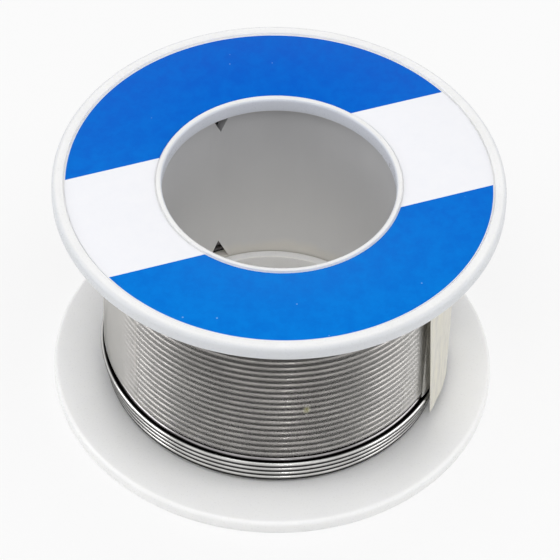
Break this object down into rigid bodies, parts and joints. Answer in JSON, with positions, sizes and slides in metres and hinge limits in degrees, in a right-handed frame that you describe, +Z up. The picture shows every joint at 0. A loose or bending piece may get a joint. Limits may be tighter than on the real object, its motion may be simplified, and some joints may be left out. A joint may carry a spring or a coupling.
{
  "type": "solder wire spool",
  "caption": "Small reel with two frosted flanges, a hollow core with a through bore, a ring label, and fine soft metal wire wound in layers under a clear film wrap.",
  "frame": {"origin": "centre of the lower flange's resting plane, on the spool's axis", "axes": "+Z up along the spool's axis from the lower flange to the labelled one, +X to the right and -Y towards the viewer who reads the label"},
  "size_m": [0.046, 0.046, 0.028],
  "materials": {
    "flange_plastic": "frosted clear moulding, satin gloss",
    "core_plastic": "frosted clear moulding, satin",
    "label": "printed and film coated, two blue fields and a bare white band",
    "solder": "bright drawn tin-lead",
    "film": "clear gloss film",
    "tape": "cloudy cream tape, satin"
  },
  "bodies": {
    "root": {"flange_top": "flange_plastic", "flange_bottom": "flange_plastic", "core_tube": "core_plastic", "label_top": "label", "wire_layer_1": "solder", "wire_layer_2": "solder", "wire_layer_3": "solder", "wire_layer_4": "solder", "wire_layer_5": "solder", "wire_bare_turns": "solder", "film_wrap": "film", "end_tape": "tape"}
  },
  "joints": []
}
